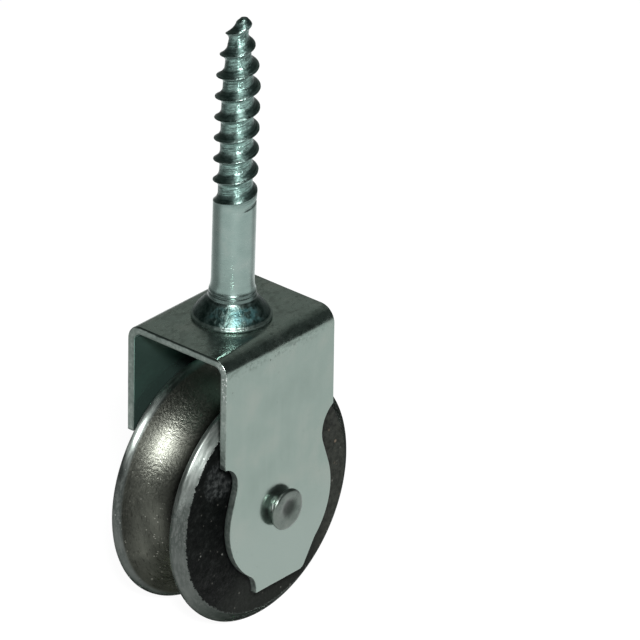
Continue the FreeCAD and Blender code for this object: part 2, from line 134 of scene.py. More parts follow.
class Shade:
    """A procedural surface: one Principled shader and the textures that feed it."""

    def __init__(self, name, metallic, roughness, base, **sockets):
        self.mat = bpy.data.materials.new(name)
        self.mat.use_nodes = True
        self.tree = self.mat.node_tree
        self.tree.nodes.clear()
        self.out = self.add("ShaderNodeOutputMaterial")
        self.bsdf = self.add("ShaderNodeBsdfPrincipled")
        self.tree.links.new(self.bsdf.outputs[0], self.out.inputs[0])
        self.bsdf.inputs["Metallic"].default_value = metallic
        self.bsdf.inputs["Roughness"].default_value = roughness
        self.bsdf.inputs["Base Color"].default_value = (*base, 1)
        for key, value in sockets.items():
            self.bsdf.inputs[key.replace("_", " ")].default_value = value
        self.coord = self.add("ShaderNodeTexCoord").outputs["Object"]

    def add(self, kind, **props):
        node = self.tree.nodes.new(kind)
        for key, value in props.items():
            setattr(node, key, value)
        return node

    def link(self, a, b):
        self.tree.links.new(a, b)

    def put(self, socket, value):
        if hasattr(value, "is_output"):
            self.link(value, socket)
        else:
            socket.default_value = value

    def stretch(self, scale, rot=(0, 0, 0), loc=(0, 0, 0)):
        """Object coordinates, scaled per axis (in cycles per metre)."""
        node = self.add("ShaderNodeMapping")
        self.link(self.coord, node.inputs["Vector"])
        node.inputs["Scale"].default_value = scale
        node.inputs["Rotation"].default_value = rot
        node.inputs["Location"].default_value = loc
        return node.outputs[0]

    def noise(self, scale, detail=2.0, rough=0.5, vector=None, distortion=0.0):
        node = self.add("ShaderNodeTexNoise")
        self.link(vector if vector is not None else self.coord, node.inputs["Vector"])
        node.inputs["Scale"].default_value = scale
        node.inputs["Detail"].default_value = detail
        node.inputs["Roughness"].default_value = rough
        node.inputs["Distortion"].default_value = distortion
        return node.outputs["Fac"]

    def cells(self, scale, vector=None, feature="F1", randomness=1.0):
        node = self.add("ShaderNodeTexVoronoi", feature=feature)
        self.link(vector if vector is not None else self.coord, node.inputs["Vector"])
        node.inputs["Scale"].default_value = scale
        node.inputs["Randomness"].default_value = randomness
        return node.outputs["Distance"]

    def ramp(self, fac, stops, ease="LINEAR"):
        node = self.add("ShaderNodeValToRGB")
        node.color_ramp.interpolation = ease
        el = node.color_ramp.elements
        while len(el) < len(stops):
            el.new(0.5)
        for e, (pos, col) in zip(el, stops):
            e.position = pos
            e.color = (*col, 1) if hasattr(col, "__len__") else (col, col, col, 1)
        self.link(fac, node.inputs[0])
        return node.outputs[0]

    def span(self, value, a, b, lo=0.0, hi=1.0, ease="SMOOTHSTEP"):
        node = self.add("ShaderNodeMapRange", interpolation_type=ease)
        self.link(value, node.inputs["Value"])
        for key, v in (("From Min", a), ("From Max", b), ("To Min", lo), ("To Max", hi)):
            node.inputs[key].default_value = v
        return node.outputs[0]

    def math(self, op, a, b=0.0, c=None):
        node = self.add("ShaderNodeMath", operation=op)
        self.put(node.inputs[0], a)
        self.put(node.inputs[1], b)
        if c is not None:
            self.put(node.inputs[2], c)
        return node.outputs[0]

    def mix(self, fac, a, b, blend="MIX"):
        node = self.add("ShaderNodeMix", data_type="RGBA", blend_type=blend)
        self.put(node.inputs["Factor"], fac)
        for key, v in (("A", a), ("B", b)):
            socket = [s for s in node.inputs if s.name == key and s.type == "RGBA"][0]
            self.put(socket, v if hasattr(v, "is_output") else (*v, 1))
        return [s for s in node.outputs if s.type == "RGBA"][0]

    def blend(self, fac, a, b):
        node = self.add("ShaderNodeMix", data_type="FLOAT")
        self.put(node.inputs["Factor"], fac)
        for key, v in (("A", a), ("B", b)):
            socket = [s for s in node.inputs if s.name == key and s.type == "VALUE"][0]
            self.put(socket, v)
        return [s for s in node.outputs if s.type == "VALUE"][0]

    def xyz(self):
        node = self.add("ShaderNodeSeparateXYZ")
        self.link(self.coord, node.inputs[0])
        return node.outputs

    def bump(self, height, distance_mm, strength=1.0, after=None):
        node = self.add("ShaderNodeBump")
        node.inputs["Distance"].default_value = distance_mm * MM
        node.inputs["Strength"].default_value = strength
        self.link(height, node.inputs["Height"])
        if after is not None:
            self.link(after, node.inputs["Normal"])
        return node.outputs[0]

    def tangent(self, axis):
        node = self.add("ShaderNodeTangent", direction_type="RADIAL", axis=axis)
        self.link(node.outputs[0], self.bsdf.inputs["Tangent"])

    def use(self, color=None, rough=None, normal=None, metal=None):
        for key, value in (("Base Color", color), ("Roughness", rough), ("Normal", normal), ("Metallic", metal)):
            if value is not None:
                self.link(value, self.bsdf.inputs[key])
        return self.mat


def zinc_sheet():
    s = Shade("zinc_sheet", 0.93, 0.2, (0.28, 0.35, 0.315))
    x, y, z = s.xyz()
    top = s.span(z, -0.0135, -0.0105)
    cloud = s.noise(95, 3, 0.55)
    streak = s.noise(1.0, 3, 0.6, s.stretch((520, 520, 60)))
    fine = s.noise(1700, 3, 0.6)
    smudge = s.noise(1.0, 4, 0.68, s.stretch((300, 520, 520)), 0.3)
    tone = s.ramp(cloud, [(0.28, (0.228, 0.292, 0.262)), (0.5, (0.250, 0.316, 0.284)), (0.74, (0.292, 0.340, 0.306))])
    tone = s.mix(s.span(streak, 0.42, 0.75, 0.0, 0.18), tone, (0.298, 0.357, 0.325))
    tone = s.mix(s.span(z, -0.042, -0.062, 0.0, 0.75), tone, (0.288, 0.350, 0.320))
    tone = s.mix(s.math("MULTIPLY", top, s.span(smudge, 0.52, 0.34, 0.0, 0.6)), tone, (0.13, 0.165, 0.145))
    tone = s.mix(s.math("MULTIPLY", top, s.span(smudge, 0.58, 0.74, 0.0, 0.5)), tone, (0.36, 0.41, 0.375))
    specks = s.span(s.cells(330), 0.05, 0.11, 1.0, 0.0)
    rare = s.math("MULTIPLY", specks, s.span(s.noise(210, 1), 0.60, 0.66))
    tone = s.mix(s.math("MULTIPLY", rare, 0.75), tone, (0.10, 0.115, 0.105))
    fleck = s.math("MULTIPLY", s.span(s.cells(620), 0.06, 0.14, 1.0, 0.0), s.span(s.noise(170, 2), 0.56, 0.62))
    tone = s.mix(s.math("MULTIPLY", fleck, 0.40), tone, (0.13, 0.155, 0.14))
    scuff = s.noise(1150, 4, 0.74)
    tract = s.span(s.noise(150, 2), 0.40, 0.58, 0.2, 1.0)
    shoulder = s.math("MULTIPLY", s.span(z, -0.0132, -0.0112), tract)
    tone = s.mix(s.math("MULTIPLY", shoulder, s.span(scuff, 0.47, 0.37, 0.0, 0.55)), tone, (0.085, 0.112, 0.098))
    tone = s.mix(s.math("MULTIPLY", shoulder, s.span(scuff, 0.58, 0.68, 0.0, 0.5)), tone, (0.44, 0.50, 0.46))
    rough = s.math("ADD", s.span(cloud, 0.3, 0.75, 0.15, 0.23), s.span(fine, 0.3, 0.8, -0.02, 0.05))
    rough = s.math("ADD", rough, s.math("MULTIPLY", rare, 0.25))
    rough = s.math("ADD", rough, s.math("MULTIPLY", top, s.span(smudge, 0.3, 0.7, 0.02, 0.10)))
    wave = s.bump(s.noise(60, 2), 0.16, 0.5)
    wave = s.bump(s.math("MULTIPLY", smudge, s.span(top, 0.0, 1.0, 0.12, 1.0, "LINEAR")), 0.055, 0.7, wave)
    grain = s.bump(fine, 0.006, 0.5, wave)
    # inner faces painted greener, standing in for light bounced between the cheeks, and duller (less metallic) than the
    # outer ones
    inner = s.math("MULTIPLY", s.span(s.math("ABSOLUTE", y), 0.0140, 0.0134), s.span(z, -0.0084, -0.0090))
    tone = s.mix(s.math("MULTIPLY", inner, 0.8), tone, (0.14, 0.27, 0.228))
    metal = s.span(inner, 0.0, 1.0, 0.965, 0.875, "LINEAR")
    return s.use(tone, rough, s.bump(streak, 0.006, 0.3, grain), metal)


def sheared_edge():
    s = Shade("sheared_edge", 0.9, 0.4, (0.2, 0.24, 0.215))
    tear = s.noise(1.0, 3, 0.6, s.stretch((1500, 1500, 1500)))
    broad = s.noise(300, 2)
    tone = s.ramp(s.math("ADD", s.math("MULTIPLY", tear, 0.6), s.math("MULTIPLY", broad, 0.4)),
                  [(0.3, (0.125, 0.158, 0.142)), (0.52, (0.205, 0.25, 0.226)), (0.72, (0.34, 0.39, 0.358))])
    # torn, darker strip of the cut along the inner face of the sheet, and a painted shade line along the rounded edge
    # of the web's outer face
    x, y, z = s.xyz()
    a = s.math("MAXIMUM", s.math("SUBTRACT", s.math("ABSOLUTE", y), 0.011), 0.0)
    b = s.math("MAXIMUM", s.math("ADD", z, 0.0114), 0.0)
    depth = s.math("SUBTRACT", 0.004, s.math("SQRT", s.math("ADD", s.math("MULTIPLY", a, a), s.math("MULTIPLY", b, b))))
    depth = s.math("ADD", depth, s.math("MULTIPLY", s.math("SUBTRACT", broad, 0.5), 0.0006))
    tone = s.mix(s.span(depth, 0.0013, 0.0019, 0.0, 0.40), tone, (0.022, 0.034, 0.030))
    # painted shade: dark line along the rounded outer edge of the web
    tone = s.mix(s.math("MULTIPLY", s.span(s.math("ABSOLUTE", y), 0.0130, 0.0116), s.math("MULTIPLY", s.span(z, -0.0112, -0.0102), s.span(depth, 0.00062, 0.00036, 0.0, 0.95))), tone, (0.010, 0.018, 0.015))
    nick = s.math("MULTIPLY", s.span(s.noise(2300, 3, 0.75), 0.53, 0.60), s.span(s.noise(500, 1), 0.36, 0.46))
    nick = s.math("MULTIPLY", nick, s.math("MULTIPLY", s.span(y, -0.0118, -0.0132), s.math("MULTIPLY", s.span(z, -0.0190, -0.0150), s.span(depth, 0.0016, 0.0012))))
    tone = s.mix(s.math("MULTIPLY", nick, 0.9), tone, (0.92, 0.97, 0.94))
    rough = s.span(tear, 0.3, 0.75, 0.30, 0.5)
    return s.use(tone, rough, s.bump(tear, 0.05, 0.6))


def zinc_screw():
    s = Shade("zinc_screw", 1.0, 0.2, (0.28, 0.355, 0.335), Anisotropic=0.45, Anisotropic_Rotation=0.25)
    s.tangent("Z")
    x, y, z = s.xyz()
    # angle round the stem and height along the thread
    front = s.math("ADD", s.math("MULTIPLY", x, -0.7507), s.math("MULTIPLY", y, -0.6606))
    aside = s.math("ADD", s.math("MULTIPLY", x, 0.6606), s.math("MULTIPLY", y, -0.7507))
    aside = s.math("SUBTRACT", aside, s.math("MULTIPLY", s.math("ADD", z, 0.0074), 0.01536))
    round_ = s.math("ARCTAN2", aside, front)
    along = s.math("SUBTRACT", z, s.math("MULTIPLY", round_, 0.0052 / (2 * math.pi)))
    turn = s.math("FRACT", s.math("DIVIDE", s.math("SUBTRACT", along, 0.017947), 0.0052))
    comb = s.add("ShaderNodeCombineXYZ")
    s.link(s.math("MULTIPLY", round_, 0.0004), comb.inputs[0])
    s.link(along, comb.inputs[1])
    rolled = s.noise(2600, 4, 0.7, comb.outputs[0], 0.25)
    cloud = s.noise(260, 3, 0.6)
    rings = s.noise(1.0, 2, 0.6, s.stretch((120, 120, 3600)))
    fine = s.noise(2200, 3, 0.65)
    dents = s.noise(900, 3, 0.6, None, 0.4)
    high = s.span(z, 0.0215, 0.0240)
    low = s.span(z, -0.0018, -0.0028)
    worked = s.math("MAXIMUM", high, low)
    tone = s.ramp(cloud, [(0.3, (0.232, 0.316, 0.292)), (0.52, (0.257, 0.342, 0.317)), (0.74, (0.297, 0.370, 0.344))])
    # bluish passivation stains on the collar, strongest to one side
    patch = s.math("MULTIPLY", s.span(round_, -0.1, 0.25), s.span(round_, 1.1, 0.7))
    patch = s.math("ADD", patch, s.math("MULTIPLY", s.span(round_, -0.9, -0.6, 0.0, 0.6), s.span(round_, -0.2, -0.4)))
    teal = s.math("MULTIPLY", s.math("MULTIPLY", low, patch), s.span(s.noise(520, 3, 0.6), 0.42, 0.60))
    teal = s.math("MULTIPLY", teal, s.span(z, -0.0063, -0.0050))
    tone = s.mix(s.math("MULTIPLY", high, s.span(cloud, 0.40, 0.7, 0.0, 0.5)), tone, (0.23, 0.36, 0.34))
    tone = s.mix(s.math("MULTIPLY", high, s.span(rolled, 0.52, 0.40, 0.0, 0.85)), tone, (0.075, 0.12, 0.108))
    # darker, duller skin on collar, foot ring and thread
    tone = s.mix(s.math("MULTIPLY", low, s.span(dents, 0.35, 0.65, 0.95, 0.66)), tone, (0.034, 0.074, 0.067))
    tone = s.mix(s.math("MULTIPLY", teal, 0.6), tone, (0.085, 0.22, 0.235))
    foot = s.math("MULTIPLY", s.span(z, 0.0016, 0.0002), s.span(z, -0.0030, -0.0022))
    tone = s.mix(s.math("MULTIPLY", foot, 0.5), tone, (0.31, 0.42, 0.39))
    tone = s.mix(s.math("MULTIPLY", s.span(z, -0.0001, -0.0004, 0.0, 0.72), s.span(z, -0.0030, -0.0022)), tone, (0.085, 0.12, 0.112))
    lip = s.span(z, -0.0061, -0.0064)
    tone = s.mix(s.math("MULTIPLY", lip, 0.85), tone, (0.30, 0.38, 0.35))
    # greener thread: dark dull flanks over each crest, bright rolled root between
    tone = s.mix(s.math("MULTIPLY", high, s.span(z, 0.0285, 0.0255, 0.12, 0.42)), tone, (0.07, 0.115, 0.104))
    root = s.math("MULTIPLY", high, s.math("MULTIPLY", s.span(turn, 0.27, 0.38), s.span(turn, 0.88, 0.78)))
    tone = s.mix(s.math("MULTIPLY", root, s.span(rolled, 0.42, 0.56, 0.10, 0.75)), tone, (0.33, 0.53, 0.48))
    score = s.noise(1250, 4, 0.72, comb.outputs[0], 0.5)
    blot = s.noise(750, 3, 0.65)
    scored = s.math("MULTIPLY", root, s.math("MAXIMUM", s.span(score, 0.47, 0.37, 0.0, 0.75), s.math("MULTIPLY", s.span(blot, 0.50, 0.40), s.span(z, 0.048, 0.060, 0.25, 0.8))))
    tone = s.mix(scored, tone, (0.045, 0.078, 0.069))
    # painted shade: the thread darker towards its left side
    tone = s.mix(s.math("MULTIPLY", high, s.span(round_, -0.15, -1.15, 0.0, 0.45)), tone, (0.06, 0.105, 0.093))
    flank = s.math("MULTIPLY", high, s.math("MULTIPLY", s.span(turn, 0.04, 0.10), s.span(turn, 0.34, 0.24)))
    tone = s.mix(s.math("MULTIPLY", flank, 0.70), tone, (0.045, 0.082, 0.073))
    plain = s.math("ADD", s.span(rings, 0.3, 0.75, 0.27, 0.33), s.span(fine, 0.3, 0.8, -0.02, 0.04))
    shiny = s.math("ADD", s.span(dents, 0.3, 0.75, 0.24, 0.40), s.math("MULTIPLY", s.math("MAXIMUM", s.math("MULTIPLY", low, 0.7), flank), 0.12))
    rough = s.blend(worked, plain, shiny)
    lathe = s.bump(rings, 0.008, 0.35)
    roll = s.bump(s.math("MULTIPLY", rolled, high), 0.20, 0.95, lathe)
    hammer = s.bump(s.math("MULTIPLY", dents, s.blend(high, low, 0.4)), 0.20, 0.7, roll)
    metal = s.math("SUBTRACT", 1.0, s.math("MULTIPLY", teal, 0.3))
    gritty = s.bump(s.math("MULTIPLY", s.noise(2700, 3, 0.7), low), 0.05, 0.8, hammer)
    return s.use(tone, rough, s.bump(fine, 0.008, 0.5, gritty), metal)


def rivet_steel():
    s = Shade("rivet_steel", 0.95, 0.34, (0.175, 0.20, 0.182))
    x, y, z = s.xyz()
    cloud = s.noise(420, 3, 0.6)
    fine = s.noise(1900, 3, 0.6)
    tone = s.ramp(cloud, [(0.3, (0.108, 0.132, 0.118)), (0.52, (0.142, 0.170, 0.153)), (0.74, (0.178, 0.205, 0.185))])
    grey = s.math("MULTIPLY", s.span(fine, 0.52, 0.72), 0.35)
    tone = s.mix(grey, tone, (0.115, 0.128, 0.117))
    drop = s.math("SUBTRACT", z, AXLE_Z * MM)
    rad = s.math("SQRT", s.math("ADD", s.math("MULTIPLY", x, x), s.math("MULTIPLY", drop, drop)))
    off = s.math("SUBTRACT", x, 0.00105)
    pit = s.math("SQRT", s.math("ADD", s.math("MULTIPLY", off, off), s.math("MULTIPLY", drop, drop)))
    # painted shade in the tail's dimple, a little off centre
    dimple_shade = s.math("MULTIPLY", s.span(pit, 0.0031, 0.0012), s.span(y, -0.0160, -0.0163))
    tone = s.mix(s.math("MULTIPLY", dimple_shade, 0.9), tone, (0.024, 0.030, 0.026))
    # painted highlight on one side of the neck and of the underside of the flared tail
    facing = s.math("ADD", s.math("MULTIPLY", x, -0.80), s.math("MULTIPLY", drop, 0.60))
    across = s.math("ABSOLUTE", s.math("ADD", s.math("MULTIPLY", x, 0.60), s.math("MULTIPLY", drop, 0.80)))
    lit_neck = s.math("MULTIPLY", s.span(facing, 0.0012, 0.0024), s.span(across, 0.0022, 0.0010))
    lit_neck = s.math("MULTIPLY", lit_neck, s.math("MULTIPLY", s.span(y, -0.0168, -0.0163), s.span(y, -0.0149, -0.0150)))
    tone = s.mix(s.math("MULTIPLY", lit_neck, 0.95), tone, (0.86, 0.90, 0.87))
    rough = s.math("ADD", s.span(cloud, 0.3, 0.75, 0.27, 0.40), s.span(fine, 0.3, 0.8, -0.03, 0.06))
    return s.use(tone, rough, s.bump(fine, 0.012, 0.5, s.bump(cloud, 0.06, 0.5)))


def bush_steel():
    s = Shade("bush_steel", 1.0, 0.42, (0.12, 0.12, 0.115))
    cloud = s.noise(600, 3, 0.6)
    tone = s.ramp(cloud, [(0.3, (0.06, 0.062, 0.06)), (0.55, (0.12, 0.12, 0.114)), (0.75, (0.18, 0.165, 0.145))])
    return s.use(tone, s.span(cloud, 0.3, 0.75, 0.34, 0.52), s.bump(cloud, 0.04, 0.5))


def cast_wheel():
    s = Shade("cast_wheel", 1.0, 0.35, (0.15, 0.15, 0.14), Anisotropic=0.75, Anisotropic_Rotation=0.25, Specular_IOR_Level=0.08, Specular_Tint=(0.10, 0.11, 0.10, 1))
    s.tangent("Y")
    x, y, z = s.xyz()
    drop = s.math("SUBTRACT", z, AXLE_Z * MM)
    rad = s.math("SQRT", s.math("ADD", s.math("MULTIPLY", x, x), s.math("MULTIPLY", drop, drop)))
    side = s.math("ABSOLUTE", y)
    ragged = s.math("MULTIPLY", s.math("SUBTRACT", s.noise(900, 3, 0.65), 0.5), 0.0012)
    ragged = s.math("ADD", ragged, s.math("MULTIPLY", s.math("SUBTRACT", s.noise(2600, 2, 0.6), 0.5), 0.0013))
    # raw cast face inside the turned chamfer, with a torn edge
    cast = s.math("MULTIPLY", s.span(s.math("ADD", rad, ragged), 0.02735, 0.02722),
                  s.span(side, 0.0092, 0.0098))
    bore = s.span(rad, 0.0046, 0.0044)
    # groove against rim
    groove = s.math("MULTIPLY", s.span(rad, 0.0292, 0.0284), s.span(side, 0.0080, 0.0077))

    around = s.add("ShaderNodeMath", operation="ARCTAN2")
    s.link(drop, around.inputs[0])
    s.link(x, around.inputs[1])
    comb = s.add("ShaderNodeCombineXYZ")
    s.link(s.math("MULTIPLY", around.outputs[0], 0.0045), comb.inputs[0])
    s.link(y, comb.inputs[1])
    s.link(rad, comb.inputs[2])
    turned = comb.outputs[0]                       # stretched along the rolling direction
    lines = s.noise(1500, 3, 0.6, turned)
    stain = s.noise(330, 3, 0.6, turned)
    cloud = s.noise(120, 3, 0.6)
    speck = s.noise(1650, 3, 0.7)
    pits = s.cells(1250)

    steel = s.ramp(lines, [(0.3, (0.228, 0.256, 0.240)), (0.52, (0.277, 0.306, 0.288)), (0.72, (0.33, 0.359, 0.339))])
    dull = s.ramp(s.math("ADD", s.math("MULTIPLY", stain, 0.55), s.math("MULTIPLY", cloud, 0.45)),
                  [(0.32, (0.078, 0.083, 0.070)), (0.5, (0.131, 0.139, 0.117)), (0.68, (0.194, 0.203, 0.171))])
    dull = s.mix(s.span(speck, 0.55, 0.72, 0.0, 0.5), dull, (0.283, 0.290, 0.246))
    glint = s.math("MULTIPLY", s.span(s.cells(900), 0.10, 0.22, 1.0, 0.0), s.span(s.noise(420, 2), 0.50, 0.60))
    dull = s.mix(s.math("MULTIPLY", glint, 0.8), dull, (0.62, 0.63, 0.55))
    dull = s.mix(s.span(s.noise(2300, 2, 0.6, turned), 0.44, 0.30, 0.0, 0.6), dull, (0.035, 0.036, 0.030))
    black = s.ramp(s.noise(700, 4, 0.7), [(0.3, (0.0018, 0.0023, 0.0022)), (0.55, (0.0044, 0.0052, 0.0049)), (0.75, (0.013, 0.0146, 0.014))])
    black = s.mix(s.math("MULTIPLY", s.span(s.cells(240), 0.035, 0.075, 1.0, 0.0), s.span(s.noise(150, 1), 0.51, 0.57)), black, (0.14, 0.145, 0.135))
    grain = s.math("MULTIPLY", s.span(s.cells(620), 0.10, 0.20, 1.0, 0.0), s.span(s.noise(300, 2), 0.50, 0.58))
    black = s.mix(s.math("MULTIPLY", grain, 0.75), black, (0.060, 0.060, 0.054))
    # rims mottled by handling, with bright nicks
    mottle = s.noise(2100, 3, 0.7, turned)
    grit = s.noise(1500, 3, 0.7)
    patch = s.noise(230, 2, 0.6)
    handled = s.math("MULTIPLY", s.span(drop, 0.0150, 0.0075), s.span(drop, -0.0060, 0.0010))
    handled = s.math("MAXIMUM", s.span(patch, 0.42, 0.60, 0.0, 0.55), s.math("MULTIPLY", handled, s.span(x, -0.010, -0.020)))
    worn = s.math("MAXIMUM", s.span(mottle, 0.58, 0.40, 0.0, 0.7), s.span(grit, 0.54, 0.40, 0.0, 0.7))
    steel = s.mix(s.math("MULTIPLY", worn, s.span(handled, 0.0, 1.0, 0.12, 0.9, "LINEAR")), steel, (0.085, 0.110, 0.098))
    nick = s.math("MULTIPLY", s.span(s.cells(560), 0.06, 0.13, 1.0, 0.0), s.span(s.noise(260, 1), 0.52, 0.60))
    steel = s.mix(s.math("MULTIPLY", nick, 0.85), steel, (0.72, 0.76, 0.73))
    tone = s.mix(groove, steel, dull)
    # painted light and shade: the upper left of the rims and groove keeps the bright tone, the rest of the left half is
    # painted darker, with a little random cloud
    shade_grade = s.math("ADD", s.math("MULTIPLY", drop, 0.87), s.math("MULTIPLY", x, -0.5))
    shade_grade = s.math("ADD", shade_grade, s.math("MULTIPLY", s.math("SUBTRACT", cloud, 0.5), 0.010))
    sector = s.span(x, 0.012, 0.001)
    painted_shade = s.blend(groove, s.span(shade_grade, 0.0246, 0.0198, 0.0, 0.58), s.math("MAXIMUM", s.span(shade_grade, 0.0215, 0.0130, 0.0, 0.34), s.span(shade_grade, 0.012, -0.001, 0.0, 0.51)))
    tone = s.mix(s.math("MULTIPLY", painted_shade, sector), tone, (0.012, 0.0125, 0.0115))
    rim_shade = s.math("MULTIPLY", s.math("SUBTRACT", 1.0, groove), s.math("MULTIPLY", sector, s.span(shade_grade, 0.0040, -0.0150, 0.0, 0.22)))
    tone = s.mix(rim_shade, tone, (0.012, 0.0128, 0.0115))
    # painted shade on the near face's rim towards the right
    chamfer_shade = s.math("MULTIPLY", s.span(y, -0.0086, -0.0096), s.span(x, 0.003, 0.013, 0.0, 0.8))
    tone = s.mix(chamfer_shade, tone, (0.016, 0.0175, 0.0155))
    # painted light on the upper part of the groove, and painted shade on its near wall to the left, a little on its far
    # wall too
    tone = s.mix(s.math("MULTIPLY", groove, s.span(drop, 0.004, 0.017, 0.0, 0.55)), tone, (0.30, 0.312, 0.272))
    wall_shade = s.math("MAXIMUM", s.math("MULTIPLY", s.span(x, 0.008, -0.004), s.span(y, 0.0024, -0.0034, 0.0, 0.94)), s.span(y, 0.0048, 0.0072, 0.0, 0.14))
    tone = s.mix(s.math("MULTIPLY", groove, wall_shade), tone, (0.010, 0.0105, 0.0095))
    # a painted pool of light, rough in texture, on the near side face
    ox = s.math("ADD", x, 0.0160)
    oz = s.math("ADD", z, 0.0400)
    spot = s.math("SQRT", s.math("ADD", s.math("MULTIPLY", ox, ox), s.math("MULTIPLY", oz, oz)))
    spot = s.math("ADD", spot, s.math("MULTIPLY", s.math("SUBTRACT", s.noise(420, 3, 0.6), 0.5), 0.006))
    spot = s.math("MULTIPLY", s.span(spot, 0.0056, 0.0042), s.span(y, 0.0, -0.002))
    pale = s.ramp(s.noise(900, 3, 0.7), [(0.38, (0.004, 0.005, 0.005)), (0.5, (0.013, 0.0148, 0.0146)), (0.68, (0.045, 0.049, 0.048))])
    black = s.mix(spot, black, pale)
    # painted light: the cast face a little lighter towards the lower right
    black = s.mix(s.span(s.math("SUBTRACT", s.math("MULTIPLY", x, 0.6), s.math("MULTIPLY", drop, 0.8)), 0.003, 0.015, 0.0, 0.62), black, (0.0185, 0.0208, 0.0182))
    paler = s.math("MULTIPLY", s.span(x, 0.014, 0.023, 0.0, 0.7), s.span(s.noise(800, 3, 0.7), 0.34, 0.62, 0.35, 1.0))
    black = s.mix(paler, black, (0.040, 0.043, 0.037))
    rust = s.math("MULTIPLY", s.span(s.cells(430), 0.10, 0.24, 1.0, 0.0), s.math("MULTIPLY", s.span(s.noise(240, 2), 0.48, 0.56), s.span(x, 0.012, 0.020)))
    black = s.mix(s.math("MULTIPLY", rust, 0.7), black, (0.16, 0.125, 0.095))
    black = s.mix(s.math("MULTIPLY", grain, s.span(s.math("SUBTRACT", x, drop), 0.004, 0.016, 0.0, 0.8)), black, (0.12, 0.12, 0.108))
    tone = s.mix(cast, tone, black)
    tone = s.mix(bore, tone, (0.16, 0.155, 0.145))

    rough = s.blend(groove, s.span(lines, 0.3, 0.75, 0.32, 0.44), s.span(speck, 0.3, 0.75, 0.36, 0.54))
    rough = s.blend(cast, rough, s.span(speck, 0.3, 0.75, 0.55, 0.8))
    metal = s.math("SUBTRACT", 1.0, cast)

    b = s.bump(lines, 0.012, 0.4)
    b = s.bump(s.math("MULTIPLY", s.math("ADD", speck, s.math("MULTIPLY", pits, 0.25)), groove), 0.15, 0.7, b)
    b = s.bump(s.math("MULTIPLY", s.noise(1100, 4, 0.7), cast), 0.30, 0.7, b)
    return s.use(tone, rough, b, metal)


# ---------------------------------------------------------------- fork bracket

T = 2.0                                   # sheet thickness
WEB_TOP, HALF_W, BEND_Y, BEND_R = -7.4, 18.5, 11.0, 4.0
BEND_S = BEND_Y + BEND_R * math.pi / 2    # developed distance where the cheek starts


def cheek_outline():
    """Left edge, lobe, tab and right edge of a cheek, (x, z) from the axle."""
    pts = []

    def go(seq):
        pts.extend(seq if not pts else seq[1:])

    go(line_points((-18.5, 40.0), (-18.5, 16.587), 1.3))
    c = (-19.6, 11.3)
    go(arc_points(*c, 5.4, angle_of(c, (-18.5, 16.587)), angle_of(c, (-14.43, 9.73)), 0.35))
    go(line_points((-14.43, 9.73), (-16.0, 4.54), 0.8))
    c = (0.6, -0.5)
    a0 = angle_of(c, (-16.0, 4.54))
    a1 = angle_of(c, (-9.61, -14.53)) % 360
    go(arc_points(*c, 17.35, a0, a1, 0.7))
    c = (-12.55, -18.57)
    go(arc_points(*c, 5.0, angle_of(c, (-9.61, -14.53)), 0.0, 0.35))
    go(line_points((-7.55, -18.57), (-7.55, -19.6), 0.6))
    go(line_points((-7.55, -19.6), (7.33, -19.6), 1.2))
    c = (7.330, -17.6)
    go(arc_points(*c, 2.0, -90.0, angle_of(c, (9.019, -18.672)), 0.3))
    go(line_points((9.019, -18.672), (12.236, -13.603), 0.8))
    c = (17.302, -16.818)
    go(arc_points(*c, 6.0, angle_of(c, (12.236, -13.603)), angle_of(c, (13.010, -12.625)), 0.35))
    c = (0.6, -0.5)
    go(arc_points(*c, 17.35, angle_of(c, (13.010, -12.625)), angle_of(c, (17.028, 5.081)), 0.7))
    go(line_points((17.028, 5.081), (15.141, 10.636), 0.8))
    c = (22.1, 13.0)
    top = (18.5, 13.0 + math.sqrt(7.35 ** 2 - 3.6 ** 2))
    go(arc_points(*c, 7.35, angle_of(c, (15.141, 10.636)) % 360, angle_of(c, top) % 360, 0.35))
    go(line_points(top, (18.5, 40.0), 1.3))
    return pts


def sheet_rows():
    """Developed positions across bends and web, from one cheek to the other."""
    rows = [-BEND_S + BEND_R * math.pi / 2 * i / 14 for i in range(14)]
    rows += [p[0] for p in line_points((-BEND_Y, 0), (BEND_Y, 0), 1.25)]
    rows += [BEND_Y + BEND_R * math.pi / 2 * i / 14 for i in range(1, 15)]
    return rows


def inside(poly, p):
    hit = False
    for (x0, y0), (x1, y1) in zip(poly, poly[1:] + poly[:1]):
        if (y0 > p[1]) != (y1 > p[1]) and p[0] < (x1 - x0) * (p[1] - y0) / (y1 - y0) + x0:
            hit = not hit
    return hit


def loop_normals(loop):
    """Outward mitred normals of a closed loop that runs counter-clockwise (clockwise for a hole)."""
    out = []
    n = len(loop)
    for i in range(n):
        p, q, r = (np.array(loop[k % n]) for k in (i - 1, i, i + 1))
        a, b = q - p, r - q
        a, b = a / np.linalg.norm(a), b / np.linalg.norm(b)
        na, nb = np.array((a[1], -a[0])), np.array((b[1], -b[0]))
        m = na + nb
        m = m / np.linalg.norm(m)
        out.append(m / max(0.5, float(m @ na)))
    return out


def dent(x, s):
    """Slight unevenness of the folded sheet, along its own normal."""
    return 0.035 * fbm(x / 17, s / 17, 2.0, 2) + 0.012 * fbm(x / 5, s / 6, 9.0, 1)


def fold(x, s, depth):
    """Point and sheet axes of a developed position, at a depth below the outer face."""
    sign = 1.0 if s >= 0 else -1.0
    a = abs(s)
    if a <= BEND_Y:
        pos, nrm, along = (x, s, WEB_TOP - depth), (0, 0, 1), (0, 1, 0)
    elif a < BEND_S:
        f = (a - BEND_Y) / BEND_R
        r = BEND_R - depth
        pos = (x, sign * (BEND_Y + r * math.sin(f)), WEB_TOP - BEND_R + r * math.cos(f))
        nrm, along = (0, sign * math.sin(f), math.cos(f)), (0, math.cos(f), -sign * math.sin(f))
    else:
        pos = (x, sign * (BEND_Y + BEND_R - depth), WEB_TOP - BEND_R - (a - BEND_S))
        nrm, along = (0, sign, 0), (0, 0, -sign)
    return np.array(pos, float), np.array(nrm, float), np.array(along, float)


